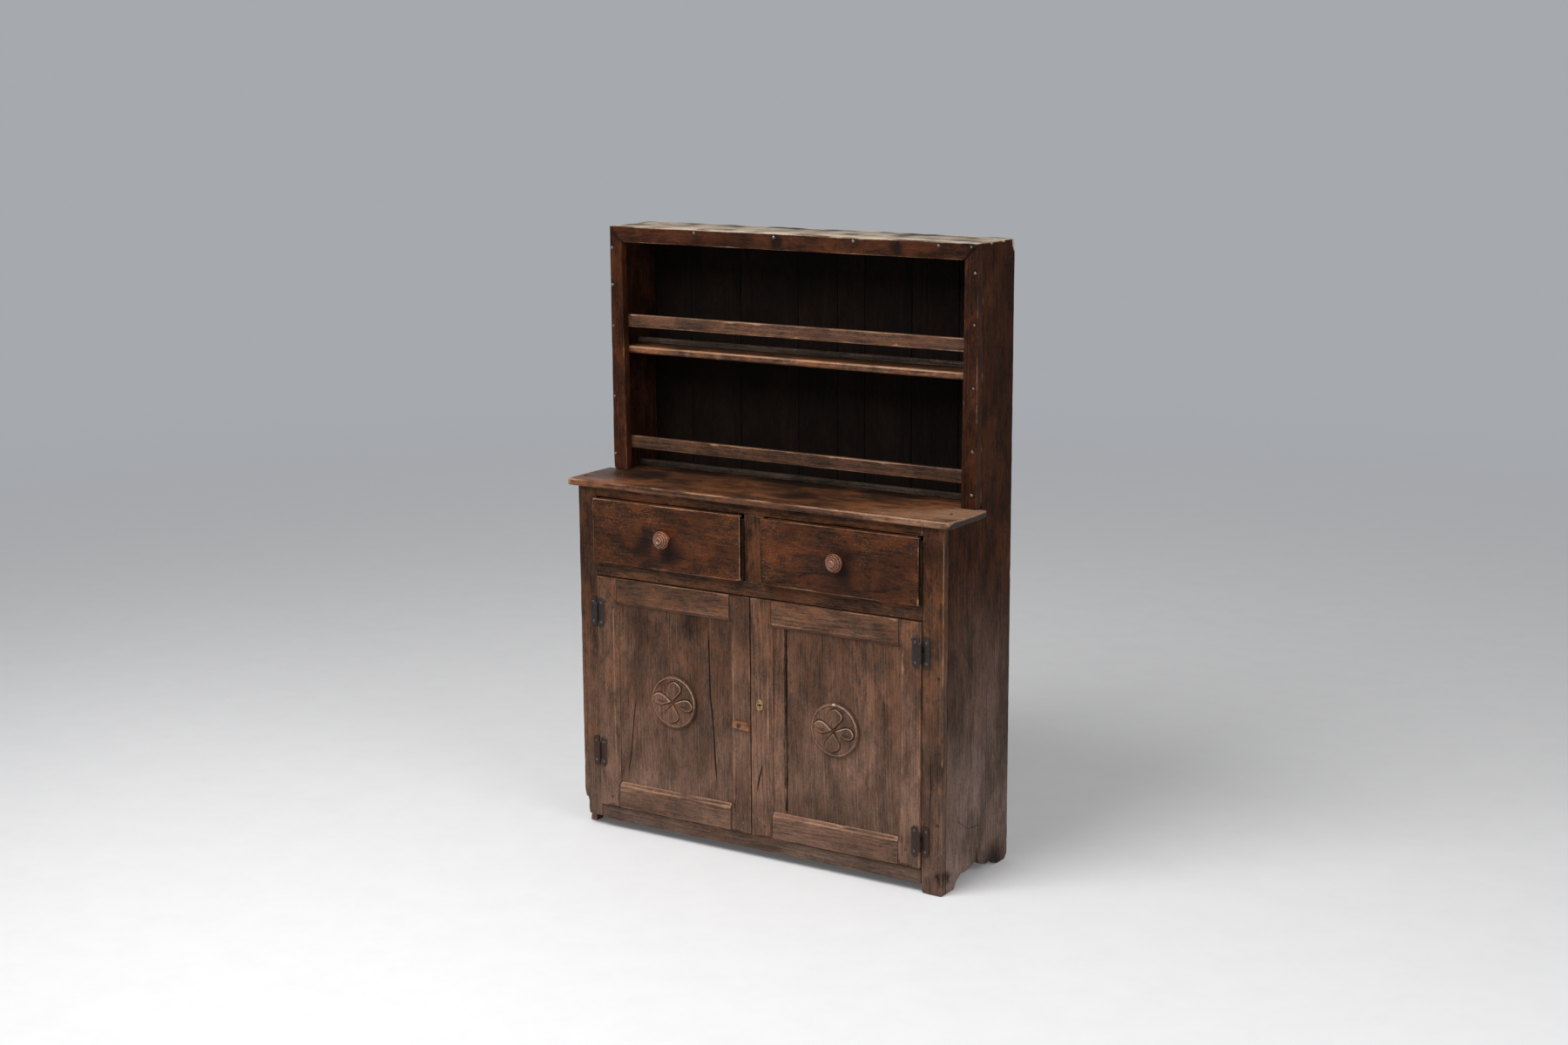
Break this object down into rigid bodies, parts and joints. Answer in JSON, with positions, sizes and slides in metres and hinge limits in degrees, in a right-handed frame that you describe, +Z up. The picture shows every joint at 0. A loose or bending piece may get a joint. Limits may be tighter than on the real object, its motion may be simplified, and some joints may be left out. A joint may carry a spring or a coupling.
{
  "type": "dresser cupboard",
  "caption": "Freestanding oak cupboard with drawers over panelled doors carved with rosettes, and an open plate rack above the counter.",
  "frame": {"origin": "on the floor, under the middle of the box that holds the whole piece", "axes": "+X to the right of someone facing the front, +Y to the back, +Z up"},
  "size_m": [1.064, 0.374, 1.482],
  "materials": {
    "case_oak": "dark waxed oak, worn to a lighter brown on the edges",
    "front_oak": "dark waxed oak with open grain",
    "counter_oak": "rubbed warm brown oak with dark stains",
    "inner_oak": "unfinished oak, darkened with age",
    "drawer_box_oak": "raw planed oak",
    "knob_wood": "turned, polished red-brown wood",
    "button_wood": "light worn wood",
    "hinge_iron": "blackened wrought iron, bright on worn edges",
    "lock_iron": "dull rusted iron",
    "escutcheon_brass": "dull aged brass"
  },
  "bodies": {
    "case": {"back_boards": "inner_oak", "base_stile_left": "case_oak", "base_stile_right": "case_oak", "base_top_rail": "case_oak", "bottom_rail": "case_oak", "counter_board": "counter_oak", "cupboard_floor": "inner_oak", "cupboard_shelf": "inner_oak", "drawer_divider": "case_oak", "drawer_runner_left": "inner_oak", "drawer_runner_middle": "inner_oak", "drawer_runner_right": "inner_oak", "frame_hinge_leaves": "hinge_iron", "guard_rail_lower": "case_oak", "guard_rail_upper": "case_oak", "hinge_pins": "hinge_iron", "middle_rail": "case_oak", "plate_batten_lower": "case_oak", "plate_batten_upper": "case_oak", "rack_shelf": "case_oak", "rack_stile_left": "case_oak", "rack_stile_right": "case_oak", "rack_top_board": "case_oak", "rack_top_rail": "case_oak", "shelf_cleats": "inner_oak", "side_board_left": "case_oak", "side_board_right": "case_oak"},
    "drawer_left": {"drawer_left_back": "drawer_box_oak", "drawer_left_bottom": "drawer_box_oak", "drawer_left_front": "front_oak", "drawer_left_knob": "knob_wood", "drawer_left_side_left": "drawer_box_oak", "drawer_left_side_right": "drawer_box_oak"},
    "drawer_right": {"drawer_right_back": "drawer_box_oak", "drawer_right_bottom": "drawer_box_oak", "drawer_right_front": "front_oak", "drawer_right_knob": "knob_wood", "drawer_right_side_left": "drawer_box_oak", "drawer_right_side_right": "drawer_box_oak"},
    "door_left": {"button_screw": "lock_iron", "door_left_bottom_rail": "front_oak", "door_left_hinge_leaves": "hinge_iron", "door_left_hinge_stile": "front_oak", "door_left_meeting_stile": "front_oak", "door_left_panel": "front_oak", "door_left_rosette": "front_oak", "door_left_top_rail": "front_oak"},
    "door_right": {"door_right_bottom_rail": "front_oak", "door_right_hinge_leaves": "hinge_iron", "door_right_hinge_stile": "front_oak", "door_right_meeting_stile": "front_oak", "door_right_panel": "front_oak", "door_right_rosette": "front_oak", "door_right_top_rail": "front_oak", "escutcheon": "escutcheon_brass", "lock_case": "lock_iron"},
    "turn_button": {"turn_button": "button_wood"},
    "lock_bolt": {"lock_bolt": "lock_iron"}
  },
  "joints": [
    {"name": "drawer_left_slide", "type": "slide", "parent": "case", "child": "drawer_left", "axis": [0, -1, 0], "range_m": [0, 0.22]},
    {"name": "drawer_right_slide", "type": "slide", "parent": "case", "child": "drawer_right", "axis": [0, -1, 0], "range_m": [0, 0.22]},
    {"name": "door_left_hinge", "type": "hinge", "parent": "case", "child": "door_left", "pos_m": [-0.4555, -0.1452, 0.3745], "axis": [0, 0, -1], "range_deg": [0, 170]},
    {"name": "door_right_hinge", "type": "hinge", "parent": "case", "child": "door_right", "pos_m": [0.4555, -0.1452, 0.349], "axis": [0, 0, 1], "range_deg": [0, 170]},
    {"name": "turn_button_swing", "type": "hinge", "parent": "door_left", "child": "turn_button", "pos_m": [-0.0355, -0.1458, 0.328], "axis": [0, -1, 0], "continuous": true},
    {"name": "lock_bolt_slide", "type": "slide", "parent": "door_right", "child": "lock_bolt", "axis": [-1, 0, 0], "range_m": [0, 0.01]}
  ]
}
